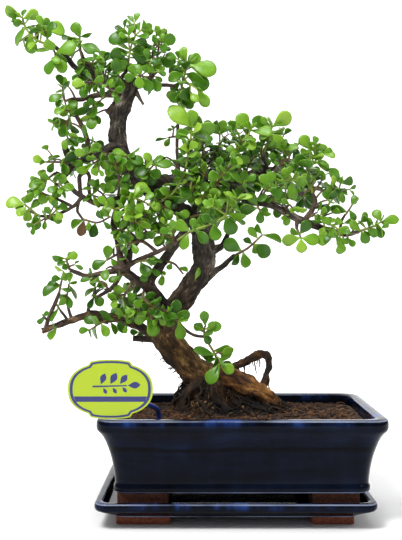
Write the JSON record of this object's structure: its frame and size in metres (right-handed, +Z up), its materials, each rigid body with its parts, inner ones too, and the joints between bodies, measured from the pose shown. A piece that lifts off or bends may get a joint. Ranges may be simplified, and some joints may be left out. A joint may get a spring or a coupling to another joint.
{
  "type": "dwarf jade bonsai in glazed pot",
  "caption": "Small dwarf jade tree with a leaning twisted trunk and sprays of round fleshy leaves, planted in a rectangular footed pot that stands on its glazed tray, with a plain plant label.",
  "frame": {"origin": "centre of the whole object's bounding box in plan, on the ground under the tray's feet", "axes": "+X to the viewer's right along the pot's long side, +Y away from the viewer, +Z up"},
  "size_m": [0.3618, 0.186, 0.4634],
  "materials": {
    "navy_glaze": "gloss",
    "peat_soil": "matte",
    "jade_bark": "matte",
    "jade_leaf": "satin",
    "lime_plastic": "satin",
    "blue_plastic": "satin",
    "black_mesh": "matte"
  },
  "bodies": {
    "root": {"pot": "navy_glaze", "tray": "navy_glaze", "soil": "peat_soil", "trunk": "jade_bark", "label_plate": "lime_plastic", "label_stake": "blue_plastic", "drain_mesh_1": "black_mesh", "drain_mesh_2": "black_mesh", "far_tip": "jade_leaf", "upper_tip": "jade_leaf", "left_hook": "jade_leaf", "left_fall": "jade_leaf", "crown_left": "jade_leaf", "crown_back": "jade_leaf", "top_shoot": "jade_leaf", "top_pair": "jade_leaf", "crown_right": "jade_leaf", "right_crest": "jade_leaf", "bright_shoot": "jade_leaf", "left_arch": "jade_leaf", "left_reach": "jade_leaf", "left_bunch": "jade_leaf", "out_tip": "jade_leaf", "drop_tip": "jade_leaf", "front_bright": "jade_leaf", "front_mid": "jade_leaf", "front_low": "jade_leaf", "back_riser_tip": "jade_leaf", "arm_green": "jade_leaf", "knot_drop": "jade_leaf", "cross_under": "jade_leaf", "upright_tip": "jade_leaf", "left_low_tip": "jade_leaf", "fork_tip": "jade_leaf", "low_right_tip": "jade_leaf", "beam_front": "jade_leaf", "beam_back": "jade_leaf", "upper_mid": "jade_leaf", "upper_right_tip": "jade_leaf", "far_stub_tip": "jade_leaf", "beam_top": "jade_leaf", "riser_top": "jade_leaf", "fork_right": "jade_leaf", "right_tip": "jade_leaf", "green_hang": "jade_leaf", "hang_round": "jade_leaf", "inner_top": "jade_leaf", "trunk_front": "jade_leaf", "inner_upper": "jade_leaf", "riser_top_leaves": "jade_leaf", "back_low_tip": "jade_leaf", "back_mid_tip": "jade_leaf", "back_left_tip": "jade_leaf", "back_right_tip": "jade_leaf", "back_top_tip": "jade_leaf", "back_far_tip": "jade_leaf", "back_centre": "jade_leaf", "back_trunk": "jade_leaf", "back_heart": "jade_leaf", "back_beam": "jade_leaf"}
  },
  "joints": []
}
